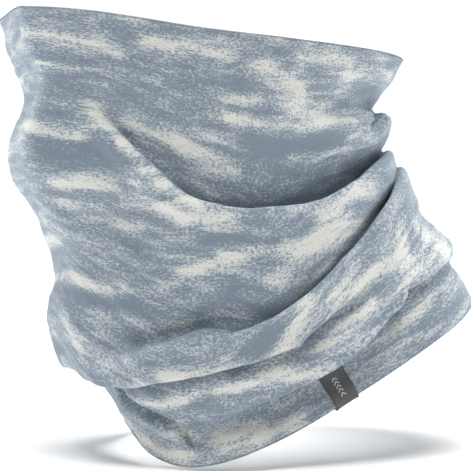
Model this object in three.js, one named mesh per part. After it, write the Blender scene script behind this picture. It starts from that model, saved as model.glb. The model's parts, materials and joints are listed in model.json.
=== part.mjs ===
// Neck gaiter: a printed jersey tube, worn gathered round the neck and drawn up over the nose.
// Millimetres, +Z up. The wearer faces -Y, and the wearer's left is +X.
// The origin is on the axis of the neck, level with the lowest point of the bottom edge.
import * as THREE from "three";

// Overall sizes
const GIRTH = 500; // once round the relaxed tube
const WORN_HEIGHT = 214; // bottom edge at its lowest to top edge at its highest, as worn
const WALL = 1; // jersey
const CLEARANCE = 0.3; // between two pieces that touch
const THREAD = 0.5; // sewing thread

// Hem label: a woven tab folded over the bottom edge
const LABEL_ANGLE = 115; // from the front, towards the wearer's left
const LABEL_WIDTH = 12.5;
const LABEL_LEG = 19; // each leg, up from the edge
const LABEL_THICK = 0.6;
const LABEL_SEAT = 1.5 * CLEARANCE; // cloth to label
const LABEL_LEAN = 0.4; // how far the label leans away from the edge as it turns round it
const LABEL_ROWS = 8; // facets up each leg
const LABEL_COLUMNS = 4; // facets across

// Flatlock seam down the back
const SEAM_HALF_WIDTH = 2.5;
const ZIGZAG_HALF_WIDTH = SEAM_HALF_WIDTH - THREAD - 2 * CLEARANCE;

// Care label: a satin strip folded in two, its ends caught in the back seam below the top edge
const CARE_WIDTH = 14; // along the seam
const CARE_LENGTH = 22; // out from the seam
const CARE_THICK = 0.4; // each leaf
const CARE_SEAT = 1.5 * CARE_THICK + 2 * CLEARANCE; // hinge line to the wall
const CARE_FROM_TOP = 8; // top edge of the tube to the label
const CARE_REST = 17; // degrees the label stands off the wall

// Lattice the tube is built on
const STEP = 3.2; // wanted distance between rows
const CREASE_ANGLE = 12.5; // half angle of the flat panel over the nose
const SEAM_ANGLE = 174.5; // first column beside the seam
const COLUMNS_PER_SIDE = 15; // from the crease to the seam
const PANEL_REACH = 0.35; // cosine of the angle at which the nose panel has run out

// Rings of the worn tube from the top edge down. "cut" is how far the flat nose panel is pressed in.
// Each pair is [distance from the neck axis, height], every 30 degrees from the front to the back.
const RINGS = [
  { cut: 11, at: [[118, 214], [94, 210], [78, 202], [72, 198], [75, 196], [86, 195], [94, 195]] }, // top edge
  { cut: 11, at: [[114, 196], [91, 193], [76, 186], [71, 181], [72, 180], [80, 182], [86, 183]] }, // cheek
  { cut: 10, at: [[107, 182], [89, 178], [75, 168], [70, 162], [69, 164], [75, 172], [79, 174]] }, // nape
  { cut: 10, at: [[106, 176], [88, 171], [74, 158], [70, 150], [74, 154], [83, 161], [87, 161]] }, // roll
  { cut: 10, at: [[107, 170], [88, 165], [73, 146], [69, 138], [70, 144], [78, 150], [82, 151]] }, // crease
  { cut: 10, at: [[109, 163], [88, 160], [70, 123], [64, 109], [67, 118], [75, 137], [79, 140]] }, // pocket
  { cut: 10, at: [[112, 157], [91, 155], [79, 126], [76, 118], [79, 128], [84, 145], [87, 148]] }, // lip
  { cut: 9, at: [[112, 138], [88, 130], [81, 111], [79, 103], [81, 112], [86, 133], [89, 140]] }, // jaw
  { cut: 6, at: [[91, 105], [82, 99], [77, 91], [76, 85], [78, 97], [81, 118], [82, 124]] }, // chin
  { cut: 4, at: [[89, 80], [81, 68], [73, 64], [70, 58], [76.5, 81], [82.5, 107], [84.5, 112]] }, // hollow
  { cut: 4, at: [[90, 69], [83, 56], [79, 56], [79, 70], [83, 99], [91, 132], [96, 138]] }, // lower lip
  { cut: 4, at: [[87, 55], [84, 45], [82, 48], [83, 60], [89, 87], [95, 120], [99, 127]] }, // throat roll
  { cut: 3, at: [[79, 40], [81, 37], [80, 41], [80, 50], [88, 77], [97, 112], [101, 119]] }, // throat fold
  { cut: 3, at: [[68, 42], [72, 43], [71, 47], [73, 56], [87, 74], [99, 108], [104, 115]] }, // throat tuck
  { cut: 3, at: [[64, 34], [70, 29], [75, 28], [80, 38], [91, 68], [104, 104], [109, 110]] }, // collar roll
  { cut: 3, at: [[62, 30], [67, 23], [76, 22], [81, 32], [93, 60], [112, 95], [117, 101]] }, // collar fold
  { cut: 3, at: [[61, 28], [66, 20], [74, 19], [74, 33], [86, 61], [110, 90], [115, 96]] }, // collar tuck
  { cut: 3, at: [[61, 26], [65, 17], [74, 10], [77, 20], [88, 44], [115, 77], [121, 87]] }, // skirt
  { cut: 3, at: [[60, 24], [64, 13], [77, 1], [80, 12], [89, 34], [119, 65], [127, 77]] }, // bottom edge
];
const TABLE_GIRTH = 500; // the sizes the table of rings was drawn for
const TABLE_HEIGHT = 214;

// The right side of the skirt is drawn up and in towards the throat.
const RIGHT_TUCK = { angle: -38, width: 26, up: 16, inwards: 8, fromRing: 10 };

// How softly the nose panel runs into the sides, at the top and the bottom edge.
const CREASE_SOFTNESS = [2.5, 10];

const jersey = cloth(0x8b979f, 0.92);
const threadColour = cloth(0x7d8890, 0.8);
const woven = cloth(0x4b4d50, 0.75);
const satin = cloth(0xe9e9e6, 0.55);

function cloth(color, roughness) {
  return new THREE.MeshStandardMaterial({ color, roughness, metalness: 0 });
}

function radians(degrees) {
  return (degrees * Math.PI) / 180;
}

// Natural cubic spline through values at rising knots.
function cubicThrough(knots, values) {
  const last = knots.length - 1;
  const bend = new Array(last + 1).fill(0);
  const upper = new Array(last + 1).fill(0);
  for (let i = 1; i < last; i++) {
    const before = knots[i] - knots[i - 1];
    const after = knots[i + 1] - knots[i];
    const pull = (6 * (values[i + 1] - values[i])) / after - (6 * (values[i] - values[i - 1])) / before;
    const pivot = 2 * (before + after) - before * upper[i - 1];
    upper[i] = after / pivot;
    bend[i] = (pull - before * bend[i - 1]) / pivot;
  }
  for (let i = last - 1; i > 0; i--) bend[i] -= upper[i] * bend[i + 1];
  return (t) => {
    let k = 0;
    while (k < last - 1 && t > knots[k + 1]) k++;
    const span = knots[k + 1] - knots[k];
    const x = (t - knots[k]) / span;
    const y = 1 - x;
    const curve = ((y ** 3 - y) * bend[k] + (x ** 3 - x) * bend[k + 1]) * (span ** 2 / 6);
    return y * values[k] + x * values[k + 1] + curve;
  };
}

// One value of a ring at any angle, both sides alike, smooth all the way round.
function aroundRing(ring, item, scale) {
  const knots = [];
  const values = [];
  for (let station = -9; station <= 9; station++) {
    const folded = Math.abs(station) <= 6 ? Math.abs(station) : 12 - Math.abs(station);
    knots.push(station * 30);
    values.push(ring.at[folded][item] * scale);
  }
  return cubicThrough(knots, values);
}

function smallerOf(a, b, softness) {
  const h = THREE.MathUtils.clamp(0.5 + (b - a) / (2 * softness), 0, 1);
  return b * (1 - h) + a * h - softness * h * (1 - h);
}

// Column angles: the crease of the nose panel, then even steps back to the seam, on both sides.
function columnAngles() {
  const left = [];
  for (let k = 0; k <= COLUMNS_PER_SIDE; k++) {
    left.push(CREASE_ANGLE + ((SEAM_ANGLE - CREASE_ANGLE) * k) / COLUMNS_PER_SIDE);
  }
  return [...left, ...left.map((angle) => -angle).reverse()];
}

// Middle surface of the cloth: rows[row][column], the first row is the top edge.
function middleSurface() {
  const wide = GIRTH / TABLE_GIRTH;
  const tall = WORN_HEIGHT / TABLE_HEIGHT;
  const angles = columnAngles();
  const drawn = RINGS.map((ring, index) => {
    const radius = aroundRing(ring, 0, wide);
    const height = aroundRing(ring, 1, tall);
    const share = Math.max(0, index - RIGHT_TUCK.fromRing) / (RINGS.length - 1 - RIGHT_TUCK.fromRing);
    return angles.map((angle) => {
      const tuck = share * Math.exp(-(((angle - RIGHT_TUCK.angle) / RIGHT_TUCK.width) ** 2));
      return {
        radius: radius(angle) - tuck * RIGHT_TUCK.inwards * wide,
        height: height(angle) + tuck * RIGHT_TUCK.up * tall,
      };
    });
  });
  const knots = [0];
  for (let k = 1; k < drawn.length; k++) {
    const lengths = drawn[k].map((p, j) =>
      Math.hypot(p.radius - drawn[k - 1][j].radius, p.height - drawn[k - 1][j].height),
    );
    knots.push(knots[k - 1] + lengths.reduce((sum, length) => sum + length, 0) / lengths.length);
  }
  const stops = [];
  for (let k = 0; k + 1 < knots.length; k++) {
    const parts = Math.max(2, Math.round((knots[k + 1] - knots[k]) / STEP));
    for (let i = 0; i < parts; i++) stops.push(knots[k] + ((knots[k + 1] - knots[k]) * i) / parts);
  }
  stops.push(knots.at(-1));
  const panelDepths = RINGS.map((ring) => (ring.at[0][0] - ring.cut) * wide);
  const panel = cubicThrough(knots, panelDepths);
  const profiles = angles.map((_, j) => ({
    radius: cubicThrough(knots, drawn.map((ring) => ring[j].radius)),
    height: cubicThrough(knots, drawn.map((ring) => ring[j].height)),
  }));
  return stops.map((t) => {
    const softness = THREE.MathUtils.lerp(...CREASE_SOFTNESS, t / knots.at(-1));
    return angles.map((angle, j) => {
      const facing = Math.cos(radians(angle));
      const oval = profiles[j].radius(t);
      const radius = facing > PANEL_REACH ? smallerOf(oval, panel(t) / facing, softness) : oval;
      return new THREE.Vector3(
        radius * Math.sin(radians(angle)),
        -radius * facing,
        profiles[j].height(t),
      );
    });
  });
}

// Outward normals of a lattice that closes on itself round the tube.
function latticeNormals(rows) {
  const columns = rows[0].length;
  return rows.map((row, i) =>
    row.map((point, j) => {
      const along = rows[Math.min(i + 1, rows.length - 1)][j].clone().sub(rows[Math.max(i - 1, 0)][j]);
      const across = row[(j + 1) % columns].clone().sub(row[(j + columns - 1) % columns]);
      return along.cross(across).normalize();
    }),
  );
}

function offsetLattice(rows, normals, distance) {
  return rows.map((row, i) => row.map((point, j) => point.clone().addScaledVector(normals[i][j], distance)));
}

// Closed skin over rings of equal length: ring after ring, and back to the first ring if "loop" is
// set; otherwise the two end rings are capped.
function skin(rings, loop) {
  const count = rings[0].length;
  const points = rings.flat();
  const index = [];
  const last = loop ? rings.length : rings.length - 1;
  for (let i = 0; i < last; i++) {
    for (let j = 0; j < count; j++) {
      const a = i * count + j;
      const b = i * count + ((j + 1) % count);
      const c = ((i + 1) % rings.length) * count + ((j + 1) % count);
      const d = ((i + 1) % rings.length) * count + j;
      index.push(a, b, c, a, c, d);
    }
  }
  if (!loop) {
    const end = (rings.length - 1) * count;
    for (let j = 0; j + 1 < count / 2; j++) {
      const far = count - 1 - j;
      index.push(j, far, j + 1, j + 1, far, far - 1);
      index.push(end + j, end + j + 1, end + far, end + j + 1, end + far - 1, end + far);
    }
  }
  const geometry = new THREE.BufferGeometry();
  geometry.setAttribute("position", new THREE.Float32BufferAttribute(points.flatMap((p) => p.toArray()), 3));
  geometry.setIndex(index);
  return faceOutwards(geometry);
}

// Turns every face round if the skin encloses a negative volume.
function faceOutwards(geometry) {
  const position = geometry.getAttribute("position");
  const index = geometry.getIndex().array;
  const corner = (k) => new THREE.Vector3().fromBufferAttribute(position, index[k]);
  let volume = 0;
  for (let k = 0; k < index.length; k += 3) {
    volume += corner(k).dot(corner(k + 1).cross(corner(k + 2)));
  }
  if (volume < 0) {
    for (let k = 0; k < index.length; k += 3) {
      [index[k + 1], index[k + 2]] = [index[k + 2], index[k + 1]];
    }
  }
  geometry.computeVertexNormals();
  return geometry;
}

// Square cord along a path; "frames" gives two crossing directions at each point.
function cord(path, frames, thickness, loop) {
  const half = thickness / 2;
  const rings = path.map((point, i) =>
    [[1, 1], [-1, 1], [-1, -1], [1, -1]].map(([a, b]) =>
      point.clone().addScaledVector(frames[i][0], a * half).addScaledVector(frames[i][1], b * half),
    ),
  );
  return skin(rings, loop);
}

const middle = middleSurface();
const normals = latticeNormals(middle);
const outer = offsetLattice(middle, normals, WALL / 2);
const inner = offsetLattice(middle, normals, -WALL / 2);
const angles = columnAngles();
const lastRow = middle.length - 1;

// Direction out of the cloth at the top or bottom edge, in the plane of the cloth.
function edgeDirection(row, column) {
  const inside = row === 0 ? 1 : lastRow - 1;
  return middle[row][column].clone().sub(middle[inside][column]).normalize();
}

function fabricTube() {
  return skin([...outer, ...inner.toReversed()], true);
}

// Rolled-edge overlock thread along the top or the bottom edge.
const EDGE_REACH = CLEARANCE + THREAD / 2;
function edgeThread(row) {
  const out = angles.map((_, j) => edgeDirection(row, j));
  const path = out.map((way, j) => middle[row][j].clone().addScaledVector(way, EDGE_REACH));
  const frames = out.map((direction, j) => [direction, normals[row][j]]);
  return cord(path, frames, THREAD, true);
}

// Profile of the cloth at the back, x = 0: points and outward directions, mitred at each corner.
function seamProfile(side) {
  const surface = side > 0 ? outer : inner;
  const points = surface.map((row) => new THREE.Vector3(0, row[COLUMNS_PER_SIDE].y, row[COLUMNS_PER_SIDE].z));
  const facets = points.slice(1).map((point, i) => sideways(point.clone().sub(points[i])));
  const out = points.map((_, i) => {
    const above = facets[Math.max(i - 1, 0)];
    const below = facets[Math.min(i, facets.length - 1)];
    const mean = above.clone().add(below).normalize();
    return mean.multiplyScalar(side / mean.dot(above));
  });
  return { points, out };
}

// Unit vector square to a direction in the plane x = 0, pointing away from the neck on the way down.
function sideways(direction) {
  return new THREE.Vector3(0, -direction.z, direction.y).normalize();
}

const LIFT = CLEARANCE + THREAD / 2; // thread axis above the cloth
const SEAM_ENDS = 1; // rows left bare at each end of the seam

// True where a thread on this point keeps its lift from every facet of the profile.
function standsClear(point, points) {
  const onProfile = point.clone().setX(0);
  const nearest = new THREE.Vector3();
  return points.slice(1).every((end, i) => {
    new THREE.Line3(points[i], end).closestPointToPoint(onProfile, true, nearest);
    return nearest.distanceTo(onProfile) > LIFT - CLEARANCE / 10;
  });
}

// Thread over the seam through the stops that stand clear: a tight fold is bridged.
function seamCord(stops) {
  const { points } = seamProfile(1);
  const kept = stops.filter((stop) => standsClear(stop.point, points));
  const frames = kept.map((stop) => [new THREE.Vector3(1, 0, 0), stop.out]);
  return cord(kept.map((stop) => stop.point), frames, THREAD, false);
}

function seamThread(x) {
  const { points, out } = seamProfile(1);
  const stops = points.map((point, i) => ({
    point: point.clone().addScaledVector(out[i], LIFT).setX(x),
    out: out[i],
  }));
  return seamCord(stops.slice(SEAM_ENDS, lastRow + 1 - SEAM_ENDS));
}

function seamZigzag() {
  const { points, out } = seamProfile(1);
  const stops = [];
  for (let i = SEAM_ENDS; i < lastRow - SEAM_ENDS; i++) {
    const facet = sideways(points[i + 1].clone().sub(points[i]));
    const half = points[i].clone().lerp(points[i + 1], 0.5);
    stops.push({
      point: points[i].clone().addScaledVector(out[i], LIFT).setX(ZIGZAG_HALF_WIDTH),
      out: out[i],
    });
    stops.push({
      point: half.addScaledVector(facet, LIFT).setX(-ZIGZAG_HALF_WIDTH),
      out: facet,
    });
  }
  return seamCord(stops);
}

// Point of a lattice at a fractional column and row.
function onLattice(rows, column, row) {
  const i = Math.min(Math.floor(row), lastRow - 1);
  const j = Math.floor(column);
  const above = rows[i][j].clone().lerp(rows[i][j + 1], column - j);
  const below = rows[i + 1][j].clone().lerp(rows[i + 1][j + 1], column - j);
  return above.lerp(below, row - i);
}

// Place and size of the hem label on the lattice; "climb" runs up the cloth square to the edge.
const labelCell = angles.findIndex((angle, j) => angle <= LABEL_ANGLE && angles[j + 1] > LABEL_ANGLE);
const intoCell = (LABEL_ANGLE - angles[labelCell]) / (angles[labelCell + 1] - angles[labelCell]);
const labelColumn = labelCell + intoCell;
const edgeRun = edgePoint(0.5).sub(edgePoint(-0.5));
const hang = onLattice(middle, labelColumn, lastRow - 1).sub(edgePoint(0));
const climb = hang.clone().projectOnPlane(edgeRun.clone().normalize()).normalize();

// Point of the bottom edge at a number of columns from the middle of the label.
function edgePoint(columns) {
  return onLattice(middle, labelColumn + columns, lastRow);
}

// Columns and rows passed for each millimetre of climb at a place on the lattice.
function climbRate(rows, column, row) {
  const here = onLattice(rows, column, row);
  const round = onLattice(rows, column + 0.5, row).sub(here).multiplyScalar(2);
  const up = onLattice(rows, column, row - 0.5).sub(here).multiplyScalar(2);
  const shared = round.dot(up);
  const size = round.lengthSq() * up.lengthSq() - shared ** 2;
  return {
    columns: (climb.dot(round) * up.lengthSq() - climb.dot(up) * shared) / size,
    rows: (climb.dot(up) * round.lengthSq() - climb.dot(round) * shared) / size,
  };
}

// One lengthwise line of the label on the outside or the inside of the cloth, from the edge up.
function labelLine(surface, side, across) {
  let column = labelColumn + across / edgeRun.length();
  let row = lastRow;
  const line = [];
  for (let k = 0; k <= LABEL_ROWS; k++) {
    const normal = onLattice(normals, column, row).normalize();
    line.push({ point: onLattice(surface, column, row), out: normal.multiplyScalar(side) });
    const rate = climbRate(middle, column, row);
    column += (rate.columns * LABEL_LEG) / LABEL_ROWS;
    row -= (rate.rows * LABEL_LEG) / LABEL_ROWS;
  }
  return line;
}

// The label follows the outside leg down, turns under the edge thread, and follows the inside leg up.
function hemLabel() {
  const reach = EDGE_REACH + THREAD / 2 + CLEARANCE;
  const away = climb.clone().negate();
  const lines = [];
  for (let k = 0; k <= LABEL_COLUMNS; k++) {
    const across = (k / LABEL_COLUMNS - 0.5) * LABEL_WIDTH;
    const front = labelLine(outer, 1, across);
    const back = labelLine(inner, -1, across);
    const turn = [front[0], back[0]].map(({ point, out }) => ({
      point: point.clone().addScaledVector(away, reach),
      out: out.clone().addScaledVector(away, LABEL_LEAN),
    }));
    lines.push([...front.toReversed(), ...turn, ...back]);
  }
  const raised = (line, i, lift) => line[i].point.clone().addScaledVector(line[i].out, lift);
  const rings = lines[0].map((_, i) => [
    ...lines.map((line) => raised(line, i, LABEL_SEAT)),
    ...lines.toReversed().map((line) => raised(line, i, LABEL_SEAT + LABEL_THICK)),
  ]);
  return skin(rings, false);
}

// Point on the inside of the seam at a distance down from the top edge.
function downSeam(distance) {
  const { points } = seamProfile(-1);
  let left = distance;
  let i = 0;
  while (left > points[i].distanceTo(points[i + 1])) {
    left -= points[i].distanceTo(points[i + 1]);
    i++;
  }
  return points[i].clone().lerp(points[i + 1], left / points[i].distanceTo(points[i + 1]));
}

// Care label in its own frame: hinge along +Z at the origin, leaves running out along +X.
function careLabel() {
  const gap = CARE_THICK;
  const outline = new THREE.Shape();
  outline.moveTo(0, -gap / 2);
  outline.lineTo(CARE_LENGTH - CARE_THICK, -gap / 2);
  outline.lineTo(CARE_LENGTH - CARE_THICK, gap / 2);
  outline.lineTo(0, gap / 2);
  outline.lineTo(0, gap / 2 + CARE_THICK);
  outline.lineTo(CARE_LENGTH - CARE_THICK / 2, gap / 2 + CARE_THICK);
  outline.lineTo(CARE_LENGTH, gap / 2);
  outline.lineTo(CARE_LENGTH, -gap / 2);
  outline.lineTo(CARE_LENGTH - CARE_THICK / 2, -gap / 2 - CARE_THICK);
  outline.lineTo(0, -gap / 2 - CARE_THICK);
  const geometry = new THREE.ExtrudeGeometry(outline, { depth: CARE_WIDTH, bevelEnabled: false });
  return geometry.translate(0, 0, -CARE_WIDTH / 2);
}

const gaiter = new THREE.Group();
function add(name, geometry, material) {
  const mesh = new THREE.Mesh(geometry, material);
  mesh.name = name;
  gaiter.add(mesh);
  return mesh;
}

add("fabric_tube", fabricTube(), jersey);
add("top_edge_thread", edgeThread(0), threadColour);
add("bottom_edge_thread", edgeThread(lastRow), threadColour);
add("seam_needle_thread_left", seamThread(SEAM_HALF_WIDTH), threadColour);
add("seam_needle_thread_right", seamThread(-SEAM_HALF_WIDTH), threadColour);
add("seam_looper_thread", seamZigzag(), threadColour);
add("hem_label", hemLabel(), woven);

// The care label turns on a straight line just inside the seam.
const careTop = downSeam(CARE_FROM_TOP);
const careDown = downSeam(CARE_FROM_TOP + CARE_WIDTH);
const hingeAxis = careTop.clone().sub(careDown).normalize();
const intoNeck = new THREE.Vector3(1, 0, 0).cross(hingeAxis);
const careHinge = careTop.clone().add(careDown).multiplyScalar(0.5).addScaledVector(intoNeck, CARE_SEAT);
const care = add("care_label", careLabel(), satin);
const atRest = new THREE.Vector3(1, 0, 0).applyAxisAngle(hingeAxis, radians(-CARE_REST));
care.setRotationFromMatrix(new THREE.Matrix4().makeBasis(atRest, hingeAxis.clone().cross(atRest), hingeAxis));
care.position.copy(careHinge);

export default gaiter;
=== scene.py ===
"""Neck gaiter as worn: printed jersey, overlocked edges, flatlock back seam, woven hem tab, care label.

Metres, +Z up. The wearer faces -Y and the wearer's left is +X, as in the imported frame.
"""

import json
import math

import bpy
import numpy as np
from mathutils import Matrix, Vector


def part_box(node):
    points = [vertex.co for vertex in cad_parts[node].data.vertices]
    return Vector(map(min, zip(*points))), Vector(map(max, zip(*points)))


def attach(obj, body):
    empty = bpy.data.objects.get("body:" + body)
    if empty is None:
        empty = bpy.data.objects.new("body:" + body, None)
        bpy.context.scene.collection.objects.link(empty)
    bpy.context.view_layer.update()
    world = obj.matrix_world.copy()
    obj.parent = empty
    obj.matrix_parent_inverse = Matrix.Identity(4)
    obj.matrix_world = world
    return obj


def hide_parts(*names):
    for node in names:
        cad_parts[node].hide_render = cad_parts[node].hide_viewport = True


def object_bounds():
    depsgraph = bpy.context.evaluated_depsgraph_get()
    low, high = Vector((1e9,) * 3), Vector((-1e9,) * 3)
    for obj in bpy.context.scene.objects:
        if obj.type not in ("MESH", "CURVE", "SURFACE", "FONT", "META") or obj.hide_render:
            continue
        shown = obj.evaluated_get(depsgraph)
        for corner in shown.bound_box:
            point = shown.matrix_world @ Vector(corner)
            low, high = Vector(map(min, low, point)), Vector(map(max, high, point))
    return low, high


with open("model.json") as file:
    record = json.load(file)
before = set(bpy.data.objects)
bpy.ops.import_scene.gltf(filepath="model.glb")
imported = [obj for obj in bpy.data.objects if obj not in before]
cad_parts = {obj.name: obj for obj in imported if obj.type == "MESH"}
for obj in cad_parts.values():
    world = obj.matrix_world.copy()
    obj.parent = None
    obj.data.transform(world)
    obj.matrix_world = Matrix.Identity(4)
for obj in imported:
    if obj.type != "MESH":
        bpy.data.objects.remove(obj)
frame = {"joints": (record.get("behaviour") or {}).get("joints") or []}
CAD_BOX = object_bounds()
MM = 0.001

# Sizes, in millimetres
WALL = 1.0  # jersey
FLAT_GIRTH = 500.0  # once round the tube lying flat
FLAT_LENGTH = 270.0  # top edge to bottom edge lying flat
THREAD = 0.34  # across the sewing thread
STITCH = 3.0  # length of one stitch of the back seam
SEAM_HALF_WIDTH = 2.5
SEAM_RISE = 0.45  # how far the flatlock seam stands out
SEAM_PINCH = 0.12  # how far each stitch draws it in and lets it out
LABEL_ANGLE = 114.8  # degrees from the front, round by the wearer's left
LABEL_WIDTH = 12.5
LABEL_LEG = 19.0  # from the bottom edge up each face
LABEL_THICK = 0.5
CARE_WIDTH = 14.0
CARE_LENGTH = 22.0
CARE_THICK = 0.35
CARE_REST = 17.0  # degrees off the wall
COLUMNS = 432  # points round the cloth
ROWS = 270  # points down the cloth

# Rings of the worn tube from the top edge down: how far the flat nose panel is pressed in, then
# [distance from the neck axis, height] at every station from the front to the back.
STATION = 30.0  # degrees from one station to the next
RINGS = [
    (11, [[118, 214], [94, 210], [78, 202], [72, 198], [75, 196], [86, 195], [94, 195]]),  # top edge
    (11, [[114, 196], [91, 193], [76, 186], [71, 181], [72, 180], [80, 182], [86, 183]]),  # cheek
    (10, [[107, 182], [89, 178], [75, 168], [70, 162], [69, 164], [75, 172], [79, 174]]),  # nape
    (10, [[106, 176], [88, 171], [74, 158], [70, 150], [74, 154], [83, 161], [87, 161]]),  # nape roll
    (10, [[107, 170], [88, 165], [73, 146], [69, 138], [70, 144], [78, 150], [82, 151]]),  # nape crease
    (10, [[109, 163], [88, 160], [70, 123], [64, 109], [67, 118], [75, 137], [79, 140]]),  # upper pocket
    (10, [[112, 157], [91, 155], [79, 126], [76, 118], [79, 128], [84, 145], [87, 148]]),  # upper lip
    (9, [[112, 138], [88, 130], [81, 111], [79, 103], [81, 112], [86, 133], [89, 140]]),  # jaw
    (6, [[91, 105], [82, 99], [77, 91], [76, 85], [78, 97], [81, 118], [82, 124]]),  # chin
    (4, [[89, 80], [81, 68], [73, 64], [70, 58], [76.5, 81], [82.5, 107], [84.5, 112]]),  # lower pocket
    (4, [[90, 69], [83, 56], [79, 56], [79, 70], [83, 99], [91, 132], [96, 138]]),  # lower lip
    (4, [[87, 55], [84, 45], [82, 48], [83, 60], [89, 87], [95, 120], [99, 127]]),  # throat roll
    (3, [[79, 40], [81, 37], [80, 41], [80, 50], [88, 77], [97, 112], [101, 119]]),  # throat fold
    (3, [[68, 42], [72, 43], [71, 47], [73, 56], [87, 74], [99, 108], [104, 115]]),  # throat tuck
    (3, [[64, 34], [70, 29], [75, 28], [80, 38], [91, 68], [104, 104], [109, 110]]),  # collar roll
    (3, [[62, 30], [67, 23], [76, 22], [81, 32], [93, 60], [112, 95], [117, 101]]),  # collar fold
    (3, [[61, 28], [66, 20], [74, 19], [74, 33], [86, 61], [110, 90], [115, 96]]),  # collar tuck
    (3, [[61, 26], [65, 17], [74, 10], [77, 20], [88, 44], [115, 77], [121, 87]]),  # skirt
    (3, [[60, 24], [64, 13], [77, 1], [80, 12], [89, 34], [119, 65], [127, 77]]),  # bottom edge
]
# Tuck in the lower rolls on the wearer's right. It starts at one ring and is full at the bottom edge.
RIGHT_TUCK = {"angle": -38, "width": 26, "up": 16, "inwards": 8, "from_ring": 10}
CREASE_SOFTNESS = (2.5, 10.0)  # where nose panel and cheek meet, at the top and at the bottom edge
PANEL_LEAST = 0.35  # cosine off the front at which the nose panel ends

# Local shifts of one ring, finer than the stations:
# [ring, degrees, spread in degrees, millimetres outwards, millimetres up].
NUDGES = [
    [2, 160, 14, -3.5, -8.0], [3, 160, 16, -1.0, 3.5],  # nape roll
    [6, 168, 22, -2.5, 1.0], [7, 168, 22, -0.5, -1.5], [10, 168, 22, -3.5, 2.5],  # rounder lips behind
    [11, 95, 25, 0.0, 2.5], [12, 95, 25, 0.0, 3.5], [13, 95, 25, 0.0, 3.5],  # throat fold
    [12, 127, 14, 2.5, -1.0], [13, 127, 14, 4.5, -1.0], [14, 127, 14, 1.5, 0.0],  # where it runs out
    [13, 60, 34, -4.0, 2.0], [14, 62, 34, 5.0, 11.0], [15, 62, 30, 1.5, 3.0],  # collar roll
    [13, 4, 22, 4.5, 0.0], [14, 4, 20, 3.5, 0.0], [15, 4, 22, 5.0, 0.0],  # front of the collar
    [16, 4, 22, 4.0, 0.0], [17, 4, 20, 2.5, 0.0],
    [17, -48, 20, -5.0, 0.0], [18, -48, 20, -5.0, 0.0],  # far side of the lower edge
    [14, 132, 12, 0.0, 4.0], [15, 132, 10, 0.0, 5.0], [16, 132, 10, 0.0, 5.0],  # collar fold
]


# ---- shape of the cloth ----

def spline_weights(knots, at):
    """Weights that turn values at the knots into a natural cubic spline at the points `at`."""
    n = len(knots)
    gap = np.diff(knots)
    left = np.zeros((n, n))
    right = np.zeros((n, n))
    left[0, 0] = left[-1, -1] = 1
    for i in range(1, n - 1):
        left[i, i - 1:i + 2] = gap[i - 1], 2 * (gap[i - 1] + gap[i]), gap[i]
        right[i, i - 1:i + 2] = 6 / gap[i - 1], -6 / gap[i - 1] - 6 / gap[i], 6 / gap[i]
    bend = np.linalg.solve(left, right)
    k = np.clip(np.searchsorted(knots, at) - 1, 0, n - 2)
    span = gap[k]
    x = (at - knots[k]) / span
    y = 1 - x
    weights = np.zeros((len(at), n))
    row = np.arange(len(at))
    weights[row, k] += y
    weights[row, k + 1] += x
    weights += ((y ** 3 - y) * span ** 2 / 6)[:, None] * bend[k]
    weights += ((x ** 3 - x) * span ** 2 / 6)[:, None] * bend[k + 1]
    return weights


def smaller_of(a, b, softness):
    """The smaller of two lengths, rounded off where they cross."""
    h = np.clip(0.5 + (b - a) / (2 * softness), 0, 1)
    return b * (1 - h) + a * h - softness * h * (1 - h)


def column_angles():
    """Degrees from the front, from the back seam round by the wearer's right."""
    return np.arange(COLUMNS) / COLUMNS * 360 - 180


def worn_lattice():
    """Middle surface of the cloth in millimetres, [row, column, xyz]; row 0 is the top edge."""
    angle = column_angles()
    stations = np.arange(-9, 10)  # past the back on both sides, so that the spline closes smoothly
    back = len(RINGS[0][1]) - 1
    folded = np.where(abs(stations) <= back, abs(stations), 2 * back - abs(stations))
    round_weights = spline_weights(stations * STATION, angle)
    rings = np.array([at for _, at in RINGS], float)[:, folded]
    radius = rings[..., 0] @ round_weights.T
    height = rings[..., 1] @ round_weights.T
    first = RIGHT_TUCK["from_ring"]
    share = np.maximum(0, np.arange(len(RINGS)) - first) / (len(RINGS) - 1 - first)
    tuck = share[:, None] * np.exp(-((angle - RIGHT_TUCK["angle"]) / RIGHT_TUCK["width"]) ** 2)
    radius = radius - tuck * RIGHT_TUCK["inwards"]
    height = height + tuck * RIGHT_TUCK["up"]
    for ring, turn, spread, outwards, up in NUDGES:
        near = np.exp(-((angle - turn) / spread) ** 2)
        radius[ring] += outwards * near
        height[ring] += up * near
    gaps = np.hypot(np.diff(radius, axis=0), np.diff(height, axis=0)).mean(1)
    knots = np.append(0, np.cumsum(gaps))
    along = np.linspace(0, knots[-1], ROWS)
    down_weights = spline_weights(knots, along)
    panel = down_weights @ np.array([at[0][0] - cut for cut, at in RINGS], float)
    radius = down_weights @ radius
    height = down_weights @ height
    facing = np.cos(np.radians(angle))[None, :]
    softness = np.interp(along, [0, knots[-1]], CREASE_SOFTNESS)[:, None]
    pressed = smaller_of(radius, panel[:, None] / np.maximum(facing, PANEL_LEAST), softness)
    radius = np.where(facing > PANEL_LEAST, pressed, radius)
    turn = np.radians(angle)[None, :]
    return np.stack([radius * np.sin(turn), -radius * np.cos(turn), height], -1)


def lattice_normals(points):
    across = np.roll(points, -1, 1) - np.roll(points, 1, 1)
    down = np.gradient(points, axis=0)
    normal = np.cross(down, across)
    return normal / np.linalg.norm(normal, axis=-1, keepdims=True)


def cloth_across(degrees):
    """Millimetres round the relaxed cloth, from the back seam, for degrees from the front."""
    return (degrees + 180) / 360 * FLAT_GIRTH


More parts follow.
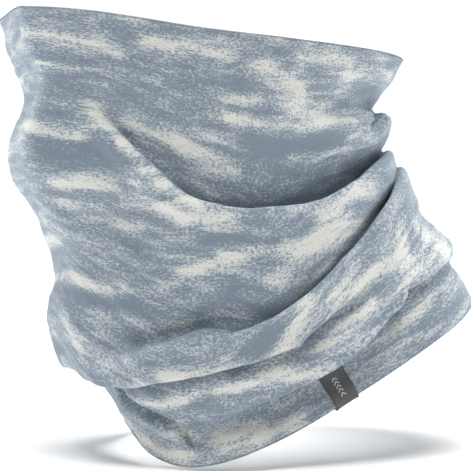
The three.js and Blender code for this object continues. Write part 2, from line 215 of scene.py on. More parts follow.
def cloth_coordinates(points):
    """Millimetres round and down the relaxed cloth for every point of the lattice."""
    steps = np.linalg.norm(np.diff(points, axis=0), axis=-1)
    down = np.vstack([np.zeros(COLUMNS), np.cumsum(steps, 0)])
    down = down / down[-1] * FLAT_LENGTH
    across = np.broadcast_to(cloth_across(column_angles()), down.shape)
    return across, down


def place_in_frame(points):
    """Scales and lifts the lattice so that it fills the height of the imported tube."""
    low, high = (corner.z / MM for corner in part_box("fabric_tube"))
    bottom = points[..., 2].min() - WALL / 2
    top = points[..., 2].max() + WALL / 2
    scale = (high - low) / (top - bottom)
    return (points - [0, 0, bottom]) * scale + [0, 0, low]


# Small folds that lie between the rings: a valley along a path of [degrees, mm down the cloth], with
# a ridge beside it. "ends" are the shares of full depth at the two ends of the path.
FOLDS = [
    # pleat of the front collar
    {"path": [(24, 242), (34, 246), (45, 247), (55, 249), (59, 253), (62, 260)],
     "depth": 4.6, "width": 1.7, "ends": (0.5, 0.3), "ridge": 3.2, "ridge_at": 4.2, "ridge_width": 3.2},
    # band across the chest of the lower roll
    {"path": [(22, 202), (32, 191), (44, 174), (57, 163), (72, 155), (90, 150)],
     "depth": 5.2, "width": 5.5, "ends": (0.2, 0.3), "ridge": 4.2, "ridge_at": 10.5, "ridge_width": 5.5},
    # cheek fold
    {"path": [(24, 36), (28, 46), (34, 58), (41, 69), (49, 80), (57, 91), (66, 101), (78, 108)],
     "depth": 1.7, "width": 2.6, "ends": (0.0, 0.0), "ridge": 3.8, "ridge_at": 6.8, "ridge_width": 6.0},
    # flute of the back collar
    {"path": [(133, 226), (131, 232), (131, 240), (129, 252)],
     "depth": 2.8, "width": 2.6, "ends": (0.8, 0.0), "ridge": 1.8, "ridge_at": 4.4, "ridge_width": 3.4},
    # edge of the collar roll
    {"path": [(78, 247), (95, 246), (108, 243), (118, 238), (128, 236), (140, 238), (152, 240)],
     "depth": 3.0, "width": 2.4, "ends": (0.0, 0.4), "ridge": 2.0, "ridge_at": -5.5, "ridge_width": 3.8},
    # slit beside the throat fold
    {"path": [(70, 203), (78, 204), (88, 202), (97, 200)],
     "depth": 1.4, "width": 1.3, "ends": (0.0, 0.0), "ridge": 0.8, "ridge_at": 2.6, "ridge_width": 1.8},
    # upper end of the throat fold
    {"path": [(100, 203), (110, 206), (118, 212), (126, 213)],
     "depth": 2.6, "width": 2.8, "ends": (0.8, 0.0), "ridge": 1.2, "ridge_at": -5.0, "ridge_width": 4.0},
    # crease of the nape roll
    {"path": [(104, 66), (119, 61), (131, 61), (144, 63), (156, 62)],
     "depth": 2.4, "width": 2.2, "ends": (0.0, 0.2), "ridge": 1.6, "ridge_at": -4.6, "ridge_width": 3.6},
    # hollow of the nape roll
    {"path": [(136, 50), (141, 47), (147, 44), (152, 39)],
     "depth": 3.6, "width": 2.6, "ends": (0.0, 0.3), "ridge": 2.4, "ridge_at": 5.2, "ridge_width": 3.4},
]
FULL_DEPTH = (0.35, 0.65)  # shares of the way along the path between which a fold is full

# Streaks of the print and a painted highlight: [degrees, mm down the cloth] at both ends, half width in
# mm, strength of the ivory. A strength below nought keeps the slate plain.
STREAKS_AND_PAINTED_HIGHLIGHT = [
    (10, 14, 38, 22, 3.0, 1.0), (48, 12, 82, 8, 4.5, 0.8), (88, 14, 105, 24, 4.0, 0.8),
    (74, 32, 86, 28, 2.5, 0.8), (74, 39, 130, 41, 3.0, 1.1), (98, 32, 118, 34, 5.0, 0.6),
    (104, 10, 124, 8, 4.0, 0.5), (126, 13, 155, 12, 4.5, 0.8), (2, 72, 27, 72, 4.5, 0.9),
    (30, 53, 34, 66, 5.0, 0.6), (40, 57, 58, 59, 3.5, 0.9), (58, 59, 78, 62, 3.5, 0.9),
    (100, 55, 127, 57, 3.0, 0.5), (20, 103, 36, 96, 5.0, 0.9), (45, 98, 60, 109, 4.0, 0.7),
    (60, 109, 76, 112, 4.0, 0.8), (21, 116, 55, 118, 4.0, 0.6), (4, 168, 37, 154, 4.0, 1.0),
    (39, 150, 56, 142, 3.5, 0.5), (59, 136, 85, 121, 4.0, 0.9), (94, 124, 127, 132, 7.0, 0.8),
    (90, 137, 114, 143, 3.0, 0.6), (107, 114, 130, 112, 5.0, 0.8), (56, 190, 77, 188, 5.0, 0.9),
    (42, 203, 54, 191, 5.0, 0.6), (91, 198, 100, 187, 5.0, 1.0), (108, 196, 133, 209, 6.0, 0.8),
    (138, 200, 135, 221, 5.0, 0.9), (105, 222, 121, 217, 4.0, 1.0), (95, 232, 106, 233, 3.0, 0.9),
    (64, 232, 94, 229, 2.5, 0.8), (42, 242, 60, 236, 2.5, 0.9), (149, 206, 152, 231, 5.0, 0.9),
    (131, 254, 142, 249, 5.0, 0.7), (52, 251, 84, 261, 5.0, 0.8), (86, 265, 99, 266, 4.0, 0.8),
    (12, 267, 61, 264, 4.0, 0.6), (14, 189, 19, 202, 5.0, 0.7),
    # painted highlight: these three ivory streaks follow the ridge of the cheek fold, where light catches
    # it
    (30, 58, 40, 74, 2.8, 0.9), (40, 74, 53, 92, 2.8, 0.9), (53, 92, 66, 105, 2.4, 0.8),
    (84, 47, 120, 50, 5.0, -1.0), (18, 85, 38, 79, 6.0, -0.9), (13, 174, 39, 162, 4.0, -0.8),
    (81, 10, 103, 3, 3.5, -0.5), (140, 16, 160, 39, 6.0, -0.7), (79, 187, 88, 187, 5.0, -0.9),
    (66, 119, 90, 118, 3.0, -0.8), (75, 145, 100, 152, 5.0, -0.5), (110, 100, 130, 98, 5.0, -0.6),
]
STREWN = 62  # streaks on the wearer's right, which the photograph does not show

# Unevenness of hanging jersey: [length in mm, height in mm, number of waves].
WAVES = ((46.0, 0.34, 14), (19.0, 0.13, 22), (7.0, 0.035, 30))
WAVE_CALM = 2.2  # what their sum is divided by


def ivory_print_and_painted_highlight(across, down):
    """How thickly ivory covers the slate: the drawn streaks of the print, the painted highlight along the
    cheek fold, and strewn streaks on the wearer's right.
    """
    rng = np.random.default_rng(7)
    streaks = list(STREAKS_AND_PAINTED_HIGHLIGHT)
    for _ in range(STREWN):
        turn, fall = rng.uniform(-178, -8), rng.uniform(2, 268)
        reach, tilt = rng.uniform(10, 28), rng.uniform(-7, 7)
        strength = rng.choice([0.6, 0.8, 1.0, -0.8], p=[0.25, 0.25, 0.2, 0.3])
        width = rng.uniform(3, 5.5)
        streaks.append((turn - reach, fall - tilt, turn + reach, fall + tilt, width, strength))
    share = np.zeros(across.shape)
    for turn, fall, turn_to, fall_to, width, strength in streaks:
        distance, _ = near_path(across, down, [(turn, fall), (turn_to, fall_to)])
        share += strength * np.exp(-(distance / width) ** 2)
    return np.clip(share, -1.2, 1.3)


def near_path(across, down, path):
    """Signed distance to a path and share of the way along it, for every point of the lattice."""
    best = np.full(across.shape, 1e9)
    side = np.zeros(across.shape)
    share = np.zeros(across.shape)
    knots = np.array([[cloth_across(degrees), fall] for degrees, fall in path])
    lengths = np.append(0, np.cumsum(np.linalg.norm(np.diff(knots, axis=0), axis=1)))
    for i in range(len(knots) - 1):
        start, run = knots[i], knots[i + 1] - knots[i]
        t = ((across - start[0]) * run[0] + (down - start[1]) * run[1]) / (run @ run)
        t = np.clip(t, 0, 1)
        dx = across - start[0] - t * run[0]
        dy = down - start[1] - t * run[1]
        distance = np.hypot(dx, dy)
        closer = distance < best
        best = np.where(closer, distance, best)
        side = np.where(closer, np.sign(run[0] * dy - run[1] * dx), side)
        passed = lengths[i] + t * (lengths[i + 1] - lengths[i])
        share = np.where(closer, passed / lengths[-1], share)
    return best * side, share


def small_folds(across, down):
    """Millimetres that the folds lift the cloth, outwards."""
    lift = np.zeros(across.shape)
    for fold in FOLDS:
        distance, share = near_path(across, down, fold["path"])
        first, last = fold["ends"]
        strength = np.interp(share, [0, *FULL_DEPTH, 1], [first, 1, 1, last])
        lift -= fold["depth"] * strength * np.exp(-(distance / fold["width"]) ** 2)
        beside = distance - fold["ridge_at"]
        lift += fold["ridge"] * strength * np.exp(-(beside / fold["ridge_width"]) ** 2)
    return lift


def soft_waves(across, down):
    """Slight unevenness of hanging jersey, longer round the tube than down it."""
    rng = np.random.default_rng(11)
    lift = np.zeros(across.shape)
    for size, height, count in WAVES:
        for _ in range(count):
            turns = rng.integers(1, max(2, int(FLAT_GIRTH / size / 1.3)))
            wave = rng.uniform(0.5, 1.3) / size * rng.choice([-1, 1])
            phase = rng.uniform(0, 2 * math.pi)
            run = turns * across / FLAT_GIRTH + wave * down
            lift += height * np.sin(2 * math.pi * run + phase)
    return lift / WAVE_CALM


class Cloth:
    """The jersey's middle surface, with its outward normals and its own flat coordinates."""

    def __init__(self):
        points = place_in_frame(worn_lattice())
        self.across, self.down = cloth_coordinates(points)
        normals = lattice_normals(points)
        lift = small_folds(self.across, self.down) + soft_waves(self.across, self.down)
        from_seam = np.minimum(self.across, FLAT_GIRTH - self.across)
        on_seam = np.exp(-(from_seam / (2.0 * SEAM_HALF_WIDTH)) ** 4)
        lift += on_seam * (SEAM_RISE + SEAM_PINCH * np.sin(2 * math.pi * self.down / STITCH))
        self.points = points + normals * lift[..., None]
        self.normals = lattice_normals(self.points)

    def at(self, column, row, lift):
        """Points on the cloth at fractional columns and rows, raised by `lift` millimetres."""
        column = np.asarray(column, float) % COLUMNS
        almost_last = ROWS - 1.000001  # so that there is always a next row
        row = np.clip(np.asarray(row, float), 0, almost_last)
        i, j = row.astype(int), column.astype(int)
        y, x = (row - i)[..., None], (column - j)[..., None]
        j_next = (j + 1) % COLUMNS
        found = []
        for grid in (self.points, self.normals):
            upper = grid[i, j] * (1 - x) + grid[i, j_next] * x
            lower = grid[i + 1, j] * (1 - x) + grid[i + 1, j_next] * x
            found.append(upper * (1 - y) + lower * y)
        point, normal = found
        normal = normal / np.linalg.norm(normal, axis=-1, keepdims=True)
        return point + normal * np.asarray(lift)[..., None]


# ---- mesh helpers ----

# Steps [down, across] from a grid cell to the corners of its quad, in the order of its face.
CORNERS = ((0, 0), (1, 0), (1, 1), (0, 1))


def add_mesh(name, points, faces, materials, face_material=None, uv=None):
    """Smooth object from points in millimetres, with one uv in millimetres per face corner."""
    mesh = bpy.data.meshes.new(name)
    mesh.from_pydata((np.asarray(points) * MM).tolist(), [], faces)
    for material in materials:
        mesh.materials.append(material)
    mesh.polygons.foreach_set("use_smooth", [True] * len(mesh.polygons))
    if face_material is not None:
        mesh.polygons.foreach_set("material_index", face_material)
    if uv is not None:
        layer = mesh.uv_layers.new(name="cloth")
        layer.data.foreach_set("uv", (np.asarray(uv) * MM).ravel())
    mesh.update()
    made = bpy.data.objects.new(name, mesh)
    bpy.context.scene.collection.objects.link(made)
    return made


def grid_skin(grid, closed_down, closed_across):
    """Quads over a [row, column] grid of point numbers, each with the grid cell it came from."""
    rows, columns = grid.shape
    faces, cells = [], []
    for i in range(rows if closed_down else rows - 1):
        for j in range(columns if closed_across else columns - 1):
            faces.append(tuple(grid[(i + di) % rows, (j + dj) % columns] for di, dj in CORNERS))
            cells.append((i, j))
    return faces, cells


def strip_skin(grid, first_end_reversed):
    """Quads round a thin strip and over its two ends, each with the places in the grid it joins.

    The grid holds point numbers, [station, round the strip].
    """
    around = grid.shape[1]
    faces, cells = grid_skin(grid, False, True)
    places = [[(i + di, (j + dj) % around) for di, dj in CORNERS] for i, j in cells]
    for end in (0, len(grid) - 1):
        for k in range(around // 2 - 1):
            quad = [(end, k), (end, k + 1), (end, around - 2 - k), (end, around - 1 - k)]
            if (end == 0) == first_end_reversed:
                quad.reverse()
            faces.append(tuple(grid[place] for place in quad))
            places.append(quad)
    return faces, places


def swept_cord(name, path, radius, sides, closed, material):
    """Round thread along a path of points, its cross-section carried along without twisting."""
    path = np.asarray(path, float)
    if closed:
        ahead = np.roll(path, -1, 0) - np.roll(path, 1, 0)
    else:
        ahead = np.gradient(path, axis=0)
    ahead /= np.linalg.norm(ahead, axis=1, keepdims=True)
    spoke = np.cross(ahead[0], [0.3, 0.5, 0.8])  # no thread starts out along this direction
    rings = []
    turns = np.arange(sides) / sides * 2 * math.pi
    for point, forward in zip(path, ahead):
        spoke = spoke - forward * (spoke @ forward)
        spoke /= np.linalg.norm(spoke)
        other = np.cross(forward, spoke)
        ring = np.cos(turns)[:, None] * spoke + np.sin(turns)[:, None] * other
        rings.append(point + radius * ring)
    points = np.concatenate(rings)
    grid = np.arange(len(points)).reshape(len(path), sides)
    faces, _ = grid_skin(grid, closed, True)
    faces = [tuple(reversed(face)) for face in faces]
    if not closed:
        faces.append(tuple(grid[0]))
        faces.append(tuple(reversed(grid[-1])))
    return add_mesh(name, points, faces, [material])


# ---- materials ----

def srgb(red, green, blue):
    """Linear colour from 0-255 screen values."""
    def linear(value):
        value /= 255
        return value / 12.92 if value <= 0.04045 else ((value + 0.055) / 1.055) ** 2.4
    return linear(red), linear(green), linear(blue), 1.0


class Nodes:
    """Short hand for building one material."""

    def __init__(self, name):
        self.material = bpy.data.materials.new(name)
        self.material.use_nodes = True
        self.tree = self.material.node_tree
        self.shader = self.tree.nodes["Principled BSDF"]

    def new(self, kind, **settings):
        node = self.tree.nodes.new("ShaderNode" + kind)
        for key, value in settings.items():
            setattr(node, key, value)
        return node

    def feed(self, socket, value):
        if isinstance(value, bpy.types.NodeSocket):
            self.tree.links.new(value, socket)
        else:
            socket.default_value = value

    def math(self, operation, *values):
        node = self.new("Math", operation=operation)
        for socket, value in zip(node.inputs, values):
            self.feed(socket, value)
        return node.outputs[0]

    def noise(self, vector, scale, detail=2.0, roughness=0.5, distortion=0.0):
        node = self.new("TexNoise")
        self.feed(node.inputs["Vector"], vector)
        node.inputs["Scale"].default_value = scale
        node.inputs["Detail"].default_value = detail
        node.inputs["Roughness"].default_value = roughness
        node.inputs["Distortion"].default_value = distortion
        return node.outputs["Fac"]

    def stretched(self, vector, x, y):
        node = self.new("Mapping")
        self.feed(node.inputs["Vector"], vector)
        node.inputs["Scale"].default_value = (x, y, 1)
        return node.outputs["Vector"]

    def uv(self):
        return self.new("UVMap", uv_map="cloth").outputs["UV"]

    def split(self, vector):
        node = self.new("SeparateXYZ")
        self.feed(node.inputs[0], vector)
        return node.outputs[0], node.outputs[1]

    def ramp(self, value, stops):
        node = self.new("ValToRGB")
        self.feed(node.inputs["Fac"], value)
        while len(node.color_ramp.elements) < len(stops):
            node.color_ramp.elements.new(0.5)
        for element, (at, colour) in zip(node.color_ramp.elements, stops):
            element.position = at
            element.color = colour
        return node.outputs["Color"]

    def mix(self, share, first, second):
        node = self.new("Mix", data_type="RGBA")
        self.feed(node.inputs[0], share)
        self.feed(node.inputs[6], first)
        self.feed(node.inputs[7], second)
        return node.outputs[2]

    def bump(self, height, strength, distance):
        node = self.new("Bump")
        self.feed(node.inputs["Height"], height)
        node.inputs["Strength"].default_value = strength
        node.inputs["Distance"].default_value = distance
        self.feed(self.shader.inputs["Normal"], node.outputs["Normal"])

    def set(self, **values):
        for key, value in values.items():
            self.feed(self.shader.inputs[key.replace("_", " ")], value)


WALE = 1.05 * MM  # width of one column of knit loops
COURSE = 0.8 * MM  # height of one row of loops


def knit_height(nodes, uv):
    """Height of plain jersey: rounded wales built from small V-shaped loops."""
    across, down = nodes.split(uv)
    wale = nodes.math("SINE", nodes.math("MULTIPLY", across, math.pi / WALE))
    wale = nodes.math("ABSOLUTE", wale)
    lean = nodes.math("MULTIPLY", wale, 2.2)
    course = nodes.math("MULTIPLY", down, 2 * math.pi / COURSE)
    loop = nodes.math("SINE", nodes.math("ADD", course, lean))
    fuzz = nodes.noise(uv, 2600.0, 2.0, 0.6)
    height = nodes.math("ADD", wale, nodes.math("MULTIPLY", loop, 0.3))
    return nodes.math("ADD", height, nodes.math("MULTIPLY", fuzz, 0.9))


SLATE = srgb(133, 146, 158)
SLATE_DEEP = srgb(121, 133, 145)
MIST = srgb(190, 199, 206)
IVORY = srgb(219, 219, 213)
BLACK = (0, 0, 0, 1)
WHITE = (1, 1, 1, 1)


def dapple(nodes, uv):
    """How far each spot is over the edge from slate to ivory, and how thick the ivory is around it."""
    bare, drawn, drifting, broken, grained = 0.43, 0.32, 0.6, 1.0, 2.1  # what each part adds
    # the ivory share holds the print and the painted highlight along the cheek fold
    share = nodes.new("Attribute", attribute_name="ivory").outputs["Fac"]
    drift = nodes.noise(nodes.stretched(uv, 14.0, 55.0), 1.0, 2.0, 0.5, 0.5)
    breaks = nodes.noise(nodes.stretched(uv, 60.0, 190.0), 1.0, 3.0, 0.6, 0.4)
    grain = nodes.noise(nodes.stretched(uv, 640.0, 1150.0), 1.0, 3.0, 0.75)
    cover = nodes.math("MULTIPLY_ADD", share, drawn, bare)
    cover = nodes.math("MULTIPLY_ADD", nodes.math("SUBTRACT", drift, 0.5), drifting, cover)
    cover = nodes.math("MULTIPLY_ADD", nodes.math("SUBTRACT", breaks, 0.5), broken, cover)
    spot = nodes.math("MULTIPLY_ADD", nodes.math("SUBTRACT", grain, 0.5), grained, cover)
    return spot, cover


def printed_jersey_and_painted_highlight():
    nodes = Nodes("printed_jersey_and_painted_highlight")
    uv = nodes.uv()
    spot, cover = dapple(nodes, uv)
    tone = nodes.noise(uv, 34.0, 2.0, 0.5)
    ground = nodes.mix(tone, SLATE_DEEP, SLATE)
    ink = nodes.mix(nodes.ramp(cover, [(0.42, BLACK), (0.74, WHITE)]), MIST, IVORY)
    edge = nodes.ramp(spot, [(0.36, BLACK), (0.72, WHITE)])
    printed = nodes.mix(edge, ground, ink)
    nodes.set(Base_Color=printed, Roughness=0.88, Sheen_Weight=0.5, Sheen_Roughness=0.3)
    nodes.shader.inputs["Sheen Tint"].default_value = (0.82, 0.91, 1.0, 1)
    nodes.shader.inputs["Specular IOR Level"].default_value = 0.25
    nodes.bump(knit_height(nodes, uv), 0.35, 0.25 * MM)
    return nodes.material


def plain_jersey():
    """Unprinted side of the cloth, where the ink only just shows through."""
    nodes = Nodes("jersey_inside")
    uv = nodes.uv()
    # the ink that shows through here includes the painted highlight along the cheek fold
    spot, _ = dapple(nodes, uv)
    edge = nodes.ramp(spot, [(0.3, BLACK), (0.8, WHITE)])
    colour = nodes.mix(edge, srgb(150, 160, 168), srgb(184, 190, 194))
    nodes.set(Base_Color=colour, Roughness=0.92, Sheen_Weight=0.15, Sheen_Roughness=0.5)
    nodes.shader.inputs["Specular IOR Level"].default_value = 0.2
    nodes.bump(knit_height(nodes, uv), 0.3, 0.25 * MM)
    return nodes.material


def sewing_thread(name, colour, lighter):
    """Twisted polyester thread."""
    nodes = Nodes(name)
    place = nodes.new("TexCoord").outputs["Object"]
    ply = nodes.new("TexWave", bands_direction="DIAGONAL")
    nodes.feed(ply.inputs["Vector"], place)
    ply.inputs["Scale"].default_value = 900.0
    ply.inputs["Distortion"].default_value = 2.0
    fuzz = nodes.noise(place, 3200.0, 2.0)
    colour = nodes.mix(nodes.math("MULTIPLY", ply.outputs["Fac"], 0.8), colour, lighter)
    nodes.set(Base_Color=colour, Roughness=nodes.math("ADD", nodes.math("MULTIPLY", fuzz, 0.3), 0.5))
    nodes.shader.inputs["Sheen Weight"].default_value = 0.2
    nodes.bump(ply.outputs["Fac"], 0.5, 0.05 * MM)
    return nodes.material


def woven_tab():
    """Charcoal damask with a row of small light chevrons down the middle of the outside leg."""
    nodes = Nodes("woven_tab")
    uv = nodes.uv()
    across, along = nodes.split(uv)
    ribs = nodes.math("SINE", nodes.math("MULTIPLY", along, 2 * math.pi / (0.42 * MM)))
    threads = nodes.math("SINE", nodes.math("MULTIPLY", across, 2 * math.pi / (0.5 * MM)))
    off_centre = nodes.math("ABSOLUTE", across)
    slope = nodes.math("ADD", along, off_centre)
    chevron = nodes.math("FRACT", nodes.math("DIVIDE", slope, 2.1 * MM))
    bar = nodes.math("LESS_THAN", chevron, 0.42)
    inside = nodes.math("LESS_THAN", off_centre, 1.35 * MM)
    above = nodes.math("GREATER_THAN", along, 3.2 * MM)
    below = nodes.math("LESS_THAN", along, 13.6 * MM)
    row = nodes.math("MULTIPLY", above, below)
    motif = nodes.math("MULTIPLY", nodes.math("MULTIPLY", bar, inside), row)
    edge = nodes.math("GREATER_THAN", off_centre, (LABEL_WIDTH / 2 - 0.5) * MM)
    wear = nodes.noise(uv, 420.0, 3.0, 0.6)
    ground = nodes.mix(wear, srgb(74, 75, 78), srgb(98, 98, 100))
    ground = nodes.mix(nodes.math("MULTIPLY", edge, 0.5), ground, srgb(58, 59, 62))
    colour = nodes.mix(nodes.math("MULTIPLY", motif, 0.85), ground, srgb(205, 206, 204))
    nodes.set(Base_Color=colour, Roughness=nodes.math("ADD", nodes.math("MULTIPLY", wear, 0.2), 0.6))
    nodes.shader.inputs["Sheen Weight"].default_value = 0.15
    weave = nodes.math("ADD", ribs, nodes.math("MULTIPLY", threads, 0.6))
    nodes.bump(nodes.math("ADD", weave, nodes.math("MULTIPLY", motif, 2.0)), 0.5, 0.06 * MM)
    return nodes.material


def satin():
    """White satin ribbon with a greyer selvedge."""
    nodes = Nodes("satin")
    uv = nodes.uv()
    across, _ = nodes.split(uv)
    yarn = nodes.math("SINE", nodes.math("MULTIPLY", across, 2 * math.pi / (0.3 * MM)))
    cloud = nodes.noise(nodes.stretched(uv, 700.0, 60.0), 1.0, 3.0, 0.55)
    selvedge = nodes.math("LESS_THAN", across, 0.8 * MM)
    colour = nodes.mix(cloud, srgb(236, 236, 232), srgb(214, 215, 213))
    colour = nodes.mix(nodes.math("MULTIPLY", selvedge, 0.6), colour, srgb(190, 192, 192))
    nodes.set(Base_Color=colour, Roughness=nodes.math("ADD", nodes.math("MULTIPLY", cloud, 0.2), 0.32))
    nodes.shader.inputs["Sheen Weight"].default_value = 0.1
    nodes.bump(nodes.math("ADD", yarn, cloud), 0.25, 0.05 * MM)
    return nodes.material


def studio_floor():
    nodes = Nodes("floor")
    place = nodes.new("TexCoord").outputs["Object"]
    tone = nodes.noise(place, 3.0, 2.0)
    nodes.set(Base_Color=nodes.mix(tone, (0.93, 0.93, 0.93, 1), (0.95, 0.95, 0.95, 1)), Roughness=0.9)
    nodes.shader.inputs["Specular IOR Level"].default_value = 0.1
    return nodes.material


# ---- pieces ----

def jersey_tube(cloth):
    outer = cloth.points + cloth.normals * WALL / 2
    inner = cloth.points - cloth.normals * WALL / 2
    loop = np.concatenate([outer, inner[::-1]])
    grid = np.arange(2 * ROWS * COLUMNS).reshape(2 * ROWS, COLUMNS)
    faces, cells = grid_skin(grid, True, True)
    down = np.concatenate([cloth.down, cloth.down[::-1]])
    cells = np.array(cells)
    step = FLAT_GIRTH / COLUMNS
    uv = []
    for di, dj in CORNERS:
        row, column = (cells[:, 0] + di) % (2 * ROWS), cells[:, 1] + dj
        uv.append(np.stack([column * step, down[row, column % COLUMNS]], -1))
    uv = np.stack(uv, 1).reshape(-1, 2)
    looks = [printed_jersey_and_painted_highlight(), plain_jersey()]
    inside = (cells[:, 0] >= ROWS).astype(int)
    tube = add_mesh("jersey_tube", loop.reshape(-1, 3), faces, looks, inside, uv)
    # the ivory attribute holds the print and the painted highlight along the cheek fold
    ivory = tube.data.attributes.new("ivory", "FLOAT", "POINT")
    share = ivory_print_and_painted_highlight(cloth.across, cloth.down)
    ivory.data.foreach_set("value", np.concatenate([share, share[::-1]]).ravel())
    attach(tube, "gaiter")
    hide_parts("fabric_tube")
    return tube


def edge_overlock(cloth, row, name, node, material):
    """Thread wrapped round the raw edge in close, narrow loops."""
    pitch = 1.05  # millimetres between loops
    steps = 6  # points to a loop
    bite = 0.85  # millimetres that each loop reaches into the cloth
    slack = 0.05  # millimetres between the loops and the raw edge
    radius = THREAD / 2
    girth = np.linalg.norm(cloth.points[row] - np.roll(cloth.points[row], 1, 0), axis=-1).sum()
    loops = int(girth / pitch)
    t = np.arange(loops * steps) / (loops * steps)
    turn = t * loops * 2 * math.pi
    inner_row = 1 if row == 0 else ROWS - 2
    out = cloth.points[row] - cloth.points[inner_row]
    out /= np.linalg.norm(out, axis=-1, keepdims=True)
    column = t * COLUMNS
    j = column.astype(int)
    x = (column - j)[:, None]
    j_next = (j + 1) % COLUMNS
    edge = cloth.points[row][j] * (1 - x) + cloth.points[row][j_next] * x
    away = out[j] * (1 - x) + out[j_next] * x
    normal = cloth.normals[row][j] * (1 - x) + cloth.normals[row][j_next] * x
    reach = np.where(np.cos(turn) > 0, radius + slack, bite) * np.cos(turn)
    sideways = (WALL / 2 + radius * 0.8) * np.sin(turn)
    path = edge + away * reach[:, None] + normal * sideways[:, None]
    made = swept_cord(name, path, radius, 5, True, material)
    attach(made, "gaiter")
    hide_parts(node)
    return made


def seam_rows(cloth, spacing):
    """Rows at even distances down the back seam, in millimetres, a little in from both edges."""
    steps = np.linalg.norm(np.diff(cloth.points[:, 0], axis=0), axis=-1)
    down = np.append(0, np.cumsum(steps))
    margin = 1.6
    at = np.arange(margin, down[-1] - margin, spacing)
    return np.interp(at, down, np.arange(ROWS)), at


def seam_thread(cloth, side, name, node, material):
    """One needle thread: stitches that rise over the cloth and dip into it."""
    rows, at = seam_rows(cloth, 0.5)
    columns = COLUMNS + side * SEAM_HALF_WIDTH / column_width(cloth, rows)
    arch, sink = 0.75, 0.15  # thread widths that a stitch rises, and that its ends lie in the cloth
    lift = WALL / 2 + THREAD * (arch * np.abs(np.sin(math.pi * at / STITCH)) - sink)
    made = swept_cord(name, cloth.at(columns, rows, lift), THREAD / 2, 6, False, material)
    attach(made, "gaiter")
    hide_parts(node)
    return made


def column_width(cloth, rows):
    """Millimetres from one column to the next beside the seam."""
    width = np.linalg.norm(cloth.points[:, 1] - cloth.points[:, 0], axis=-1)
    return np.interp(rows, np.arange(ROWS), width)


def seam_looper(cloth, material):
    """The thread that crosses between the needle threads, two passes to a stitch."""
    rows, at = seam_rows(cloth, 0.25)
    overshoot = 1.35  # above one, so that the thread runs a little way beside each needle thread
    inset = 0.1  # millimetres inside the needle threads
    height, drop = 0.9, 0.2  # thread widths over the cloth in the middle, and less at the sides
    swing = np.clip(overshoot * np.sin(2 * math.pi * at / (STITCH / 2)), -1, 1)
    columns = COLUMNS + swing * (SEAM_HALF_WIDTH - inset) / column_width(cloth, rows)
    lift = WALL / 2 + THREAD * (height - drop * np.abs(swing))
    path = cloth.at(columns, rows, lift)
    made = swept_cord("seam_looper", path, THREAD * 0.42, 5, False, material)
    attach(made, "gaiter")
    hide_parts("seam_looper_thread")
    return made


def up_the_cloth(cloth, columns, length, count):
    """Lattice places of lines that climb square to the bottom edge, `length` millimetres in all."""
    here = np.zeros(len(columns))
    row = here + ROWS - 1.0
    middle = len(columns) // 2
    run = cloth.at(columns + 1, row, here) - cloth.at(columns - 1, row, here)
    run = run[middle] / np.linalg.norm(run[middle])
    climb = (cloth.at(columns, row - 4, here) - cloth.at(columns, row, here))[middle]
    climb -= run * (climb @ run)
    climb /= np.linalg.norm(climb)
    places = [(columns, row)]
    for _ in range(count - 1):
        spot = cloth.at(columns, row, here)
        across = cloth.at(columns + 1, row, here) - spot
        up = cloth.at(columns, row - 1, here) - spot
        aa, uu, au = (across ** 2).sum(1), (up ** 2).sum(1), (across * up).sum(1)
        ca, cu = across @ climb, up @ climb
        step = length / (count - 1) / (aa * uu - au ** 2)
        columns = columns + step * (ca * uu - cu * au)
        row = row - step * (cu * aa - ca * au)
        places.append((columns, row))
    return places, climb


def tab_middle(cloth, shares):
    """Middle surface of the tab, [station, share, xyz], and the millimetres along it.

    It runs down the outside of the cloth, round the bottom edge and up the inside.
    """
    tall = 34  # points up each leg
    air = 0.12  # between the tab and the edge thread under it
    curl = 0.25  # that the tab's sides stand off
    wave = 0.1  # that the outside leg is uneven
    flattened = 0.2  # that the bend is short of a round one
    centre = (LABEL_ANGLE + 180) / 360 * COLUMNS
    j = int(centre)
    width = np.linalg.norm(cloth.points[-1, j + 1] - cloth.points[-1, j])
    columns = centre + shares * LABEL_WIDTH / width
    places, climb = up_the_cloth(cloth, columns, LABEL_LEG, tall)
    heights = np.linspace(0, LABEL_LEG, tall)
    clear = WALL / 2 + THREAD + air + LABEL_THICK / 2
    spread = np.abs(shares * 2) ** 4 * curl
    level = np.zeros(len(shares))
    middle, along = [], []
    for height, (column, row) in list(zip(heights, places))[::-1]:
        middle.append(cloth.at(column, row, clear + wave * math.sin(height * 0.5) + spread))
        along.append(height)
    edge = cloth.at(columns, level + ROWS - 1.0, level)
    face = cloth.at(columns, level + ROWS - 1.0, level + 1) - edge
    for turn in np.radians(range(70, -81, -30)):
        out = clear + spread[:, None]
        middle.append(edge + face * (math.sin(turn) * out) - climb * (math.cos(turn) * (out - flattened)))
        along.append(-(math.pi / 2 - turn) * clear)
    for height, (column, row) in zip(heights, places):
        middle.append(cloth.at(column, row, level - clear))
        along.append(-math.pi * clear - height)
    return np.array(middle), along


def hem_tab(cloth):
    """Woven tab folded over the bottom edge, following the cloth on both faces."""
    shares = np.linspace(-0.5, 0.5, 17)
    middle, along = tab_middle(cloth, shares)
    normal = np.cross(np.gradient(middle, axis=0), np.gradient(middle, axis=1))
    normal /= np.linalg.norm(normal, axis=-1, keepdims=True)
    front = middle + normal * LABEL_THICK / 2
    back = middle - normal * LABEL_THICK / 2
    loop = np.concatenate([front, back[:, ::-1]], 1)
    side = np.concatenate([shares, shares[::-1]]) * LABEL_WIDTH
    grid = np.arange(loop.shape[0] * loop.shape[1]).reshape(loop.shape[:2])
    faces, places = strip_skin(grid, False)
    uv = [(side[j], along[i]) for quad in places for i, j in quad]
    tab = add_mesh("hem_tab", loop.reshape(-1, 3), faces, [woven_tab()], uv=uv)
    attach(tab, "gaiter")
    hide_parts("hem_label")
    return tab


